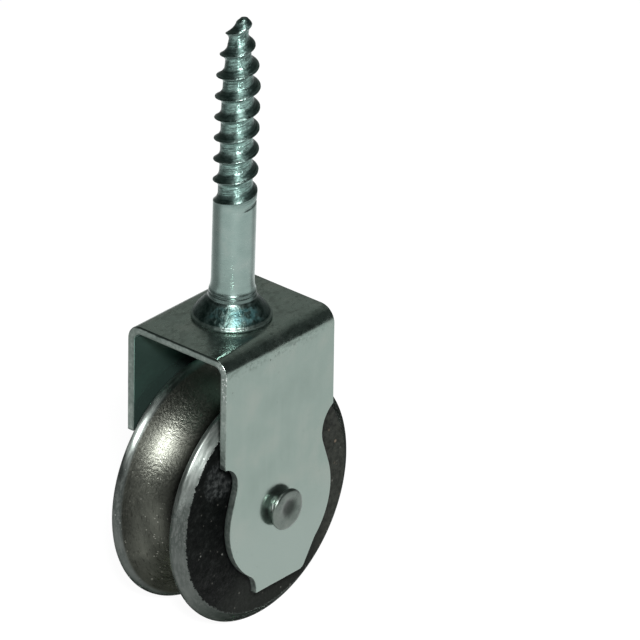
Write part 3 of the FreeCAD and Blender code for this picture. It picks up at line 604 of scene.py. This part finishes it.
def build_fork():
    cheek = [(x, BEND_S + 40.0 - z) for x, z in cheek_outline()]
    rows = sheet_rows()
    outline = list(cheek)                                   # far cheek, left to right
    outline += [(HALF_W, s) for s in reversed(rows)][1:-1]  # right edge over the web
    outline += [(x, -s) for x, s in reversed(cheek)]        # near cheek, right to left
    outline += [(-HALF_W, s) for s in rows][1:-1]           # left edge back
    area = sum(p[0] * q[1] - q[0] * p[1] for p, q in zip(outline, outline[1:] + outline[:1]))
    if area < 0:
        outline.reverse()
    axle_s = BEND_S + 40.0
    loops = [(outline, 0.30)]
    for cx, cs, r in ((0.0, 0.0, 4.0), (0.0, axle_s, 2.5), (0.0, -axle_s, 2.5)):
        loops.append(([(cx + r * math.cos(-2 * math.pi * i / 56), cs + r * math.sin(-2 * math.pi * i / 56)) for i in range(56)], 0.15))

    verts, normals, faces, kinds = [], [], [], []

    def put(x, s, depth, nx, ns, lean, flip, rough=0.0):
        """lean 0 faces along the sheet normal, 1 faces out of the cut edge."""
        e = 0.05
        pos, nrm, along = fold(x, s, depth)
        gx = (dent(x + e, s) - dent(x - e, s)) / (2 * e)
        gs = (dent(x, s + e) - dent(x, s - e)) / (2 * e)
        face = nrm - np.array((gx, 0, 0)) - along * gs
        face /= np.linalg.norm(face)
        outward = np.array((nx, 0, 0)) + along * ns
        size = np.linalg.norm(outward)
        outward = outward / size if size else outward
        vec = face * (flip * math.cos(lean * math.pi / 2)) + outward * math.sin(lean * math.pi / 2)
        verts.append(pos + nrm * dent(x, s) + outward * rough)
        normals.append(vec / np.linalg.norm(vec))
        return len(verts) - 1

    # rings of each cut edge, from the outer face round to the inner face
    outer_rings, inner_rings, flat_loops = [], [], []
    for li, (loop, e) in enumerate(loops):
        mit = loop_normals(loop)
        profile = [(e * (1 - math.sin(a)), e * (1 - math.cos(a)), a / (math.pi / 2), 1) for a in (k * math.pi / 8 for k in range(5))]
        profile += [(0.0, e + (T - 2 * e) * k / 4, 1.0, 1) for k in (1, 2, 3)]
        profile += [(e * (1 - math.sin(a)), T - e * (1 - math.cos(a)), a / (math.pi / 2), -1) for a in (k * math.pi / 8 for k in (4, 3, 2, 1, 0))]
        rings = []
        for off, depth, lean, flip in profile:
            ring = []
            for i, (p, m) in enumerate(zip(loop, mit)):
                x, s = p[0] - m[0] * off, p[1] - m[1] * off
                rough = 0.0
                if li == 0:
                    rough = -0.05 * lean * (0.5 + 0.5 * fbm(p[0] / 1.1, p[1] / 1.1, depth * 1.3, 3))
                    near = smooth(14.5, 12.3, abs(abs(s) - 14.5) + 11) if s < 0 and x < -17 else 0.0
                    rough += near * lean * (0.22 * fbm(p[0] * 2, p[1] * 2.6, depth * 2.4, 2) - 0.08)
                ring.append(put(x, s, depth, m[0], m[1], lean, flip, rough))
            rings.append(ring)
        outer_rings.append(rings[0])
        inner_rings.append(rings[-1])
        flat_loops.append([(p[0] - m[0] * e, p[1] - m[1] * e) for p, m in zip(loop, mit)])
        n = len(loop)
        for k, (a, b) in enumerate(zip(rings, rings[1:])):
            cut = 1 if 2 <= k < len(rings) - 3 else 0
            for i in range(n):
                j = (i + 1) % n
                faces.append((a[i], b[i], b[j], a[j]))
                kinds.append(cut)

    # flat skins: edge loops plus a grid of points inside
    pts, edges = [], []
    for loop in flat_loops:
        start = len(pts)
        pts += [Vector(p) for p in loop]
        edges += [(start + i, start + (i + 1) % len(loop)) for i in range(len(loop))]
    n_loop = len(pts)
    flat = [(p.x, p.y) for p in pts]
    cloud = np.array(flat)
    grid_s = list(rows)
    k = 1
    while BEND_S + 1.4 * k < 80:
        grid_s += [BEND_S + 1.4 * k, -BEND_S - 1.4 * k]
        k += 1
    for s in grid_s:
        for i in range(-12, 13):
            x = i * 1.45
            if np.min((cloud[:, 0] - x) ** 2 + (cloud[:, 1] - s) ** 2) < 0.36:
                continue
            if not inside(flat_loops[0], (x, s)) or any(inside(h, (x, s)) for h in flat_loops[1:]):
                continue
            pts.append(Vector((x, s)))
    co, _, tris, src, _, _ = delaunay_2d_cdt(pts, edges, [], 0, 1e-7, True)
    where = [ids[0] for ids in src]
    skin_out, skin_in = {}, {}
    ring_out = [v for r in outer_rings for v in r]
    ring_in = [v for r in inner_rings for v in r]
    for i, p in enumerate(pts):
        if i < n_loop:
            skin_out[i], skin_in[i] = ring_out[i], ring_in[i]
        else:
            skin_out[i] = put(p.x, p.y, 0.0, 0, 0, 0.0, 1)
            skin_in[i] = put(p.x, p.y, T, 0, 0, 0.0, -1)
    for tri in tris:
        ids = [where[v] for v in tri]
        mid = (sum(pts[v].x for v in ids) / 3, sum(pts[v].y for v in ids) / 3)
        if not inside(flat_loops[0], mid) or any(inside(h, mid) for h in flat_loops[1:]):
            continue
        a, b, c = ids
        turn = (pts[b].x - pts[a].x) * (pts[c].y - pts[a].y) - (pts[c].x - pts[a].x) * (pts[b].y - pts[a].y)
        if turn < 0:
            b, c = c, b
        faces.append((skin_out[a], skin_out[b], skin_out[c]))
        faces.append((skin_in[a], skin_in[c], skin_in[b]))
        kinds += [0, 0]
    return mesh_object("fork_plate", verts, faces, [zinc_sheet(), sheared_edge()], kinds, normals)


# ---------------------------------------------------------------- turned pieces

def revolve(name, profile, segments, axis, centre_z, material, shape=None, closed=False):
    """Turns (along, radius) points about an axis; shape(along, radius, angle) may move each one.
    A point at radius 0 closes the end. axis is "Y" or "Z"."""
    verts, rings = [], []
    for t, r in profile:
        if r <= 1e-9:
            verts.append((0, t, centre_z) if axis == "Y" else (0, 0, t))
            rings.append([len(verts) - 1])
            continue
        ring = []
        for k in range(segments):
            a = 2 * math.pi * k / segments
            tt, rr = shape(t, r, a) if shape else (t, r)
            if axis == "Y":
                verts.append((rr * math.cos(a), tt, centre_z + rr * math.sin(a)))
            else:
                verts.append((rr * math.cos(a), rr * math.sin(a), tt))
            ring.append(len(verts) - 1)
        rings.append(ring)
    faces = []
    pairs = list(zip(rings, rings[1:]))
    if closed:
        pairs.append((rings[-1], rings[0]))
    for a, b in pairs:
        for k in range(segments):
            j = (k + 1) % segments
            if len(a) == 1:
                f = (a[0], b[k], b[j])
            elif len(b) == 1:
                f = (a[k], b[0], a[j])
            else:
                f = (a[k], b[k], b[j], a[j])
            faces.append(f)
    # outward faces: the enclosed volume comes out positive
    vol = 0.0
    for f in faces:
        p = [np.array(verts[i]) for i in f]
        for q, r in zip(p[1:], p[2:]):
            vol += float(p[0] @ np.cross(q, r))
    if vol < 0:
        faces = [tuple(reversed(f)) for f in faces]
    return mesh_object(name, verts, faces, [material])


def build_wheel():
    # groove from its floor up to the lip, then rim, chamfer and side face with rounded corners
    turn = math.degrees(math.asin(1.6 / 9.1))
    lip_y = 9.1 * math.cos(math.radians(turn))
    groove = arc_points(0, 30, 7.5, -90, -turn, 0.32)
    groove += arc_points(lip_y, 28.4, 1.6, 180 - turn, 90, 0.14)[1:]
    rim = rounded([groove[-1], (9.25, 30.0), (11.0, 27.3), (11.0, 24.0)], [0, 0.42, 1.1, 0], 0.14)
    half = groove + densify(rim, 0.45)[1:]
    r = 24.0
    while r > 4.8:
        r -= 0.55
        half.append((11.0, r))
    half += [(11.0, 4.2), (10.9, 3.95), (10.7, 3.8)]
    profile = [(-y, r) for y, r in reversed(half[1:])] + half
    bore = [(10.7 - 21.4 * i / 8, 3.8) for i in range(1, 8)]

    def shape(y, r, a):
        ca, sa = math.cos(a), math.sin(a)
        sign = 1 if y > 0 else -1
        if abs(y) > 9.3 and r > 3.9:
            raw = smooth(27.5, 26.4, r) * smooth(4.1, 5.2, r)
            lump = 0.5 + 0.5 * fbm(ca * r / 3.1, sa * r / 3.1, sign * 5.0, 3)
            gritty = 0.5 + 0.5 * fbm(ca * r / 0.9, sa * r / 0.9, sign * 3.0, 2)
            y -= sign * raw * (0.22 * lump + 0.13 * gritty)
        if r > 22:
            r -= 0.02 * (0.5 + 0.5 * fbm(ca * 6, sa * 6, y / 4, 2))
        return y, r

    return revolve("wheel_body", profile + bore, 300, "Y", AXLE_Z, cast_wheel(), shape, closed=True)


def build_rivet():
    tail = [(-16.86, 0.0), (-16.87, 0.35), (-16.89, 0.75), (-16.97, 1.3), (-17.08, 1.75), (-17.2, 2.15), (-17.3, 2.5), (-17.37, 2.85)]
    tail += [(-17.4, 3.2), (-17.38, 3.9), (-17.32, 4.35), (-17.18, 4.66), (-16.95, 4.84), (-16.72, 4.9), (-16.5, 4.86), (-16.28, 4.7), (-16.12, 4.42), (-16.04, 4.0), (-15.98, 3.5), (-15.8, 3.1), (-15.4, 2.92), (-15.0, 2.85)]
    shaft = [(-14.99, 2.5)] + [(-15 + 30 * i / 6, 2.5) for i in range(1, 6)] + [(14.99, 2.5), (15.0, 2.7), (15.0, 6.7), (15.04, 6.9), (15.2, 7.0)]
    dome = [(12.6 + 7.4 * math.cos(a), 7.4 * math.sin(a)) for a in (math.radians(d) for d in range(69, 0, -4))]
    dome = [p for p in dome if p[0] > 15.3] + [(20.0, 0.0)]

    def shape(y, r, a):
        ca, sa = math.cos(a), math.sin(a)
        if y < -15.3:
            r *= 1.035 - 0.02 * (0.5 + 0.5 * fbm(ca * 1.4, sa * 1.4, 3.0, 2)) * smooth(2.0, 4.6, r)
            y += 0.05 * fbm(ca * r / 1.6, sa * r / 1.6, 6.0, 2) + (0.05 if y < -17 else 0.0)
        elif y > 15.3:
            y -= 0.05 * (0.5 + 0.5 * fbm(ca * r / 2, sa * r / 2, 1.0, 2))
        return y, r

    body = revolve("rivet_body", tail + shaft + dome, 96, "Y", AXLE_Z, rivet_steel(), shape)
    for v in body.data.vertices:
        out = -v.co.y / MM
        if out > 14.995:
            r = math.hypot(v.co.x / MM, v.co.z / MM - AXLE_Z)
            dimple = smooth(3.2, 1.4, r) * smooth(16.2, 16.8, out)
            v.co.x += MM * (0.42 + 0.28 * smooth(15.2, 16.4, out) + 0.35 * dimple)
            v.co.z -= MM * 0.35 * smooth(15.0, 16.2, out) * (1 - dimple)
    body.data.update()
    return body


def build_bush():
    prof = [(-11.9, 2.75), (-11.9, 3.45), (-11.8, 3.65), (-11.6, 3.75)]
    prof += [(-11.6 + 22.3 * i / 8, 3.75) for i in range(1, 8)]
    prof += [(10.7, 3.75), (10.9, 3.65), (11.0, 3.45), (11.0, 2.75), (10.85, 2.55)]
    prof += [(10.85 - 22.6 * i / 8, 2.55) for i in range(1, 9)]
    return revolve("bush_sleeve", prof, 64, "Y", AXLE_Z, bush_steel(), None, closed=True)


# ---------------------------------------------------------------- wood screw

PITCH = 5.2
THREAD_FOOT = 14.75                       # height of the helix at angle 0, one turn under the first crest


def core_radius(z):
    return float(np.interp(z, [0, 26.5, 30.5, 46.0, 52.6, 57.5, 60.5, 64.0, 65.6, 66.3, 66.7, 67.0, 67.2],
                           [3.9, 3.9, 3.68, 3.62, 3.35, 2.95, 2.62, 1.95, 1.75, 1.68, 1.52, 1.2, 0.85]))


def crest_radius(z):
    return float(np.interp(z, [0, 22.0, 26.0, 50.5, 55.0, 58.25, 60.85, 63.45, 66.0, 67.2],
                           [4.95, 4.95, 5.13, 5.13, 4.8, 4.27, 3.72, 3.12, 2.0, 0.85]))


def screw_radius(a, z):
    """Radius of the threaded part at an angle from 0 to 2 pi and a height."""
    turn = (z - THREAD_FOOT) / PITCH - a / (2 * math.pi)
    low = math.floor(turn)
    up = (turn - low) * PITCH                  # height above the crest below
    length = low + a / (2 * math.pi)           # turns since the foot of the helix
    core = core_radius(z)
    above = (1 - min(1.0, max(0.0, up - 0.06) / 2.3)) ** 2.4
    below = (1 - min(1.0, max(0.0, PITCH - up - 0.06) / 1.5)) ** 2.0
    r = core + max(max(0.0, crest_radius(z - up) - core) * above,
                   max(0.0, crest_radius(z - up + PITCH) - core) * below)
    # the valley runs in from the shank over most of a turn, and begins as a narrow slit
    r = min(r + 1.3 * (1 - smooth(0.68, 1.28, length)), crest_radius(z))
    slit = (0.07 * smooth(0.54, 0.60, length) + 0.33 * smooth(0.665, 0.72, length)) * (1 - smooth(0.95, 1.15, length))
    r -= slit * math.exp(-((up - 2.95) / 0.22) ** 2)
    x, y = math.cos(a) * r, math.sin(a) * r
    worked = smooth(22.5, 25.0, z)
    return r + worked * (0.03 * fbm(x / 1.5, y / 1.5, z / 1.5, 2) + 0.012 * fbm(x / 0.5, y / 0.5, z / 0.35, 1))


def build_screw():
    segs = 160
    cuts = [-0.5, -0.44, -0.38, -0.33, -0.28, -0.24, -0.205, -0.175, -0.147, -0.122, -0.1, -0.08, -0.062, -0.046, -0.031, -0.0115,
            0.0115, 0.028, 0.044, 0.062, 0.082, 0.104, 0.128, 0.155, 0.185, 0.218, 0.255, 0.295, 0.34, 0.39, 0.44]
    per = len(cuts)
    rows = [THREAD_FOOT + PITCH * (k + c) for k in range(9) for c in cuts]
    rows += [THREAD_FOOT + PITCH * (9 + c) for c in cuts if c < 0.03]
    last = len(rows) - 1
    verts = []

    def helix_vertex(j, k):
        a = 2 * math.pi * k / segs
        z = rows[j] + PITCH * k / segs
        r = screw_radius(a % (2 * math.pi), z)
        verts.append((r * math.cos(a), r * math.sin(a), z))
        return len(verts) - 1

    grid = [[helix_vertex(j, k) for k in range(segs)] for j in range(last + 1)]
    extra = {j: helix_vertex(j, segs) for j in range(last - per + 1, last + 1)}

    def right(j, k):
        if k + 1 < segs:
            return grid[j][k + 1]
        return grid[j + per][0] if j + per <= last else extra[j]

    faces = []
    for j in range(last):
        for k in range(segs):
            faces.append((grid[j][k], right(j, k), right(j + 1, k), grid[j + 1][k]))

    def zip_up(a, b):
        """Triangles between two upright chains of vertices, a to the left of b seen from outside."""
        i = j = 0
        while i < len(a) - 1 or j < len(b) - 1:
            if j == len(b) - 1 or (i < len(a) - 1 and verts[a[i + 1]][2] < verts[b[j + 1]][2]):
                faces.append((a[i], b[j], a[i + 1]))
                i += 1
            else:
                faces.append((a[i], b[j], b[j + 1]))
                j += 1

    def ring(z, r, wob=0.0):
        ids = []
        for k in range(segs):
            a = 2 * math.pi * k / segs
            rr = r * (1 + wob * fbm(math.cos(a) * r / 2.2, math.sin(a) * r / 2.2, z / 1.5, 3))
            verts.append((rr * math.cos(a), rr * math.sin(a), z))
            ids.append(len(verts) - 1)
        return ids

    # plain shank, stepped collar, tenon and peened end, from the top down
    foot = [(4.95, 12.0), (4.95, 8.0), (4.95, 4.5), (4.95, 3.0), (4.96, 2.2), (4.99, 1.5), (5.05, 0.9), (5.13, 0.4), (5.23, 0.02), (5.31, -0.16), (5.37, -0.3), (5.4, -0.46),
            (5.39, -0.62), (5.37, -0.76), (5.38, -0.9), (5.43, -1.02), (5.49, -1.16), (5.53, -1.36), (5.55, -1.6), (5.56, -1.84), (5.6, -2.06), (5.71, -2.3), (5.91, -2.6), (6.16, -2.9), (6.46, -3.24), (6.84, -3.66), (7.26, -4.14), (7.72, -4.66), (8.12, -5.15), (8.44, -5.6)]
    foot += [(8.63, -5.93), (8.75, -6.17), (8.85, -6.35), (8.95, -6.47), (9.06, -6.55), (9.17, -6.62), (9.25, -6.71), (9.295, -6.84), (9.29, -7.02), (9.2, -7.24), (9.02, -7.38), (8.9, -7.4), (6.0, -7.4), (4.0, -7.4), (4.0, -9.4)]
    foot += [(6.1, -9.42), (6.3, -9.5)]
    foot += [(9.47 * math.sin(a), -2.33 - 9.47 * math.cos(a)) for a in (math.radians(d) for d in (38, 33, 27, 21, 15, 9, 4))]
    rings = [ring(z, r, 0.006 if -6.4 < z < -2.2 else (0.01 if z < -9.4 else 0.0)) for r, z in foot]
    for a, b in zip(rings, rings[1:]):
        for k in range(segs):
            n = (k + 1) % segs
            faces.append((a[k], b[k], b[n], a[n]))
    verts.append((0, 0, -11.8))
    pole = len(verts) - 1
    for k in range(segs):
        faces.append((rings[-1][k], pole, rings[-1][(k + 1) % segs]))
    # join of shank ring and first helical row; the last one takes in the whole seam
    top = rings[0]
    for k in range(segs - 1):
        faces.append((top[k], top[k + 1], grid[0][k + 1], grid[0][k]))
    zip_up([top[segs - 1], grid[0][segs - 1]], [top[0]] + [grid[j][0] for j in range(per + 1)])

    # blunt tip: the rest of the last turn up to a level ring, and its rounded end
    close = 67.05
    level = []
    for k in range(segs):
        a = 2 * math.pi * k / segs
        r = screw_radius(a, close)
        verts.append((r * math.cos(a), r * math.sin(a), close))
        level.append(len(verts) - 1)
    chains = [[grid[last][0]] + [extra[j] for j in range(last - per + 1, last + 1)] + [level[0]]]
    for k in range(1, segs):
        a = 2 * math.pi * k / segs
        foot_z = rows[last] + PITCH * k / segs
        n = max(1, round((close - foot_z) / 0.2))
        chain = [grid[last][k]]
        for i in range(1, n):
            z = foot_z + (close - foot_z) * i / n
            r = screw_radius(a, z)
            verts.append((r * math.cos(a), r * math.sin(a), z))
            chain.append(len(verts) - 1)
        chains.append(chain + [level[k]])
    chains.append([extra[last], level[0]])
    for a, b in zip(chains, chains[1:]):
        zip_up(a, b)
    tip_rings = [level] + [ring(z, r, 0.03) for r, z in ((0.9, 67.2), (0.6, 67.31), (0.3, 67.365))]
    for a, b in zip(tip_rings, tip_rings[1:]):
        for k in range(segs):
            n = (k + 1) % segs
            faces.append((a[k], a[n], b[n], b[k]))
    verts.append((0, 0, 67.38))
    for k in range(segs):
        faces.append((tip_rings[-1][k], tip_rings[-1][(k + 1) % segs], len(verts) - 1))
    # the screw stands a little out of true on its seat, and its blunt end is bent over
    aside, lean = (0.6606, -0.7507), math.tan(math.radians(0.88))
    for i, (x, y, z) in enumerate(verts):
        shift = lean * (z + 7.4) * smooth(-7.4, -3.0, z) + 1.0 * smooth(63.0, 67.0, z)
        verts[i] = (x + aside[0] * shift, y + aside[1] * shift, z)
    return mesh_object("screw_body", verts, faces, [zinc_screw()])


# ---------------------------------------------------------------- pieces on their bodies

fork = build_fork()
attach(fork, "fork"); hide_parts("fork_bracket")
screw = build_screw()
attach(screw, "fork"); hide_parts("wood_screw")
rivet = build_rivet()
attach(rivet, "fork"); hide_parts("axle_rivet")
bush = build_bush()
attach(bush, "bush"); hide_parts("hub_bush")
wheel = build_wheel()
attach(wheel, "wheel"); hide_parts("grooved_wheel")


# ---------------------------------------------------------------- stage, light, camera

def floor_plane():
    me = bpy.data.meshes.new("floor")
    n, half, z = 24, 3.5, -81.4 * MM
    pts = [(0.0, 0.0, z)] + [(half * math.cos(2 * math.pi * i / n), half * math.sin(2 * math.pi * i / n), z) for i in range(n)]
    me.from_pydata(pts, [], [(0, 1 + i, 1 + (i + 1) % n) for i in range(n)])
    s = Shade("floor_white", 0.0, 0.9, (0.12, 0.12, 0.12), Specular_IOR_Level=0.0, Emission_Strength=0.95)
    shade = s.ramp(s.noise(3.0, 2), [(0.3, (0.118, 0.119, 0.118)), (0.7, (0.122, 0.122, 0.122))])
    # the floor glows by emission, painted to fall off to both sides and towards the back
    def along(direction):
        node = s.add("ShaderNodeVectorMath", operation="DOT_PRODUCT")
        s.link(s.coord, node.inputs[0])
        node.inputs[1].default_value = direction
        return node.outputs["Value"]

    across, ahead = along((0.6606, -0.7507, 0.0)), along((-0.7507, -0.6606, 0.0))
    left = s.math("MULTIPLY", s.span(across, -0.075, -0.155, 0.0, 0.72), s.span(ahead, 0.10, 0.0))
    rear = s.math("MULTIPLY", s.span(across, 0.105, 0.15, 0.0, 0.58), s.span(ahead, -0.02, -0.10))
    fall = s.math("MULTIPLY", s.math("SUBTRACT", 1.0, left), s.math("SUBTRACT", 1.0, rear))
    fall = s.math("MULTIPLY", fall, s.span(ahead, -0.60, -0.29, 0.5, 1.0))
    glow = s.ramp(fall, [(0.0, (0.0, 0.0, 0.0)), (1.0, (1.0, 1.0, 1.0))])
    s.link(glow, s.bsdf.inputs["Emission Color"])
    me.materials.append(s.use(shade))
    ob = bpy.data.objects.new("floor", me)
    bpy.context.scene.collection.objects.link(ob)
    return ob


floor_plane()

A, E, ROLL = math.radians(-48.655), math.radians(28.554), math.radians(0.557)
DIST, FOCAL_PX = 1987.0, 8729.0
back = Vector((math.sin(A) * math.cos(E), -math.cos(A) * math.cos(E), math.sin(E)))
right = Vector((math.cos(A), math.sin(A), 0.0))
up = back.cross(right)
right, up = math.cos(ROLL) * right + math.sin(ROLL) * up, -math.sin(ROLL) * right + math.cos(ROLL) * up
target = Vector((0, 0, -32.4))
spot = target + back * DIST
ahead = (0.010224 * right + 0.010516 * up - back).normalized()
cz = -ahead
cx = up.cross(cz).normalized()
cy = cz.cross(cx)
cam_data = bpy.data.cameras.new("camera")
cam_data.sensor_width = 36.0
cam_data.lens = FOCAL_PX * 36.0 / 640.0
cam_data.clip_end = 50.0
cam = bpy.data.objects.new("camera", cam_data)
cam.matrix_world = Matrix(((cx.x, cy.x, cz.x, spot.x * MM), (cx.y, cy.y, cz.y, spot.y * MM), (cx.z, cy.z, cz.z, spot.z * MM), (0, 0, 0, 1)))
bpy.context.scene.collection.objects.link(cam)
bpy.context.scene.camera = cam


def area_light(name, azimuth_off, elevation, distance, size, power, color=(1, 1, 1)):
    """A square softbox, its azimuth counted from the camera's, positive to the camera's right."""
    h = Vector((math.sin(A), -math.cos(A), 0.0))
    r = Vector((math.cos(A), math.sin(A), 0.0))
    a, e = math.radians(azimuth_off), math.radians(elevation)
    d = (h * math.cos(a) + r * math.sin(a)) * math.cos(e) + Vector((0, 0, 1)) * math.sin(e)
    data = bpy.data.lights.new(name, "AREA")
    data.shape = "SQUARE"
    data.size = size
    data.energy = power
    data.color = color
    ob = bpy.data.objects.new(name, data)
    ob.location = d * distance + target * MM
    ob.rotation_euler = d.to_track_quat("Z", "Y").to_euler()
    bpy.context.scene.collection.objects.link(ob)
    return ob


area_light("key", 4, 35, 1.3, 0.20, 24.0)
area_light("overhead", 0, 84, 1.4, 0.4, 1.7)


def studio_world():
    world = bpy.data.worlds.new("studio")
    bpy.context.scene.world = world
    world.use_nodes = True
    nt = world.node_tree
    nt.nodes.clear()
    out = nt.nodes.new("ShaderNodeOutputWorld")
    bg = nt.nodes.new("ShaderNodeBackground")
    nt.links.new(bg.outputs[0], out.inputs[0])
    co = nt.nodes.new("ShaderNodeTexCoord")
    dot = nt.nodes.new("ShaderNodeVectorMath")
    dot.operation = "DOT_PRODUCT"
    nt.links.new(co.outputs["Generated"], dot.inputs[0])
    dot.inputs[1].default_value = (0.659, 0.58, 0.478)
    glow = nt.nodes.new("ShaderNodeValToRGB")
    el = glow.color_ramp.elements
    el[0].position, el[0].color = 0.55, (0.012, 0.020, 0.017, 1)
    el[1].position, el[1].color = 0.97, (0.27, 0.28, 0.262, 1)
    nt.links.new(dot.outputs["Value"], glow.inputs[0])
    nt.links.new(glow.outputs[0], bg.inputs[0])
    bg.inputs[1].default_value = 1.0


studio_world()
bpy.context.scene.view_settings.view_transform = "Standard"

bpy.context.view_layer.update()
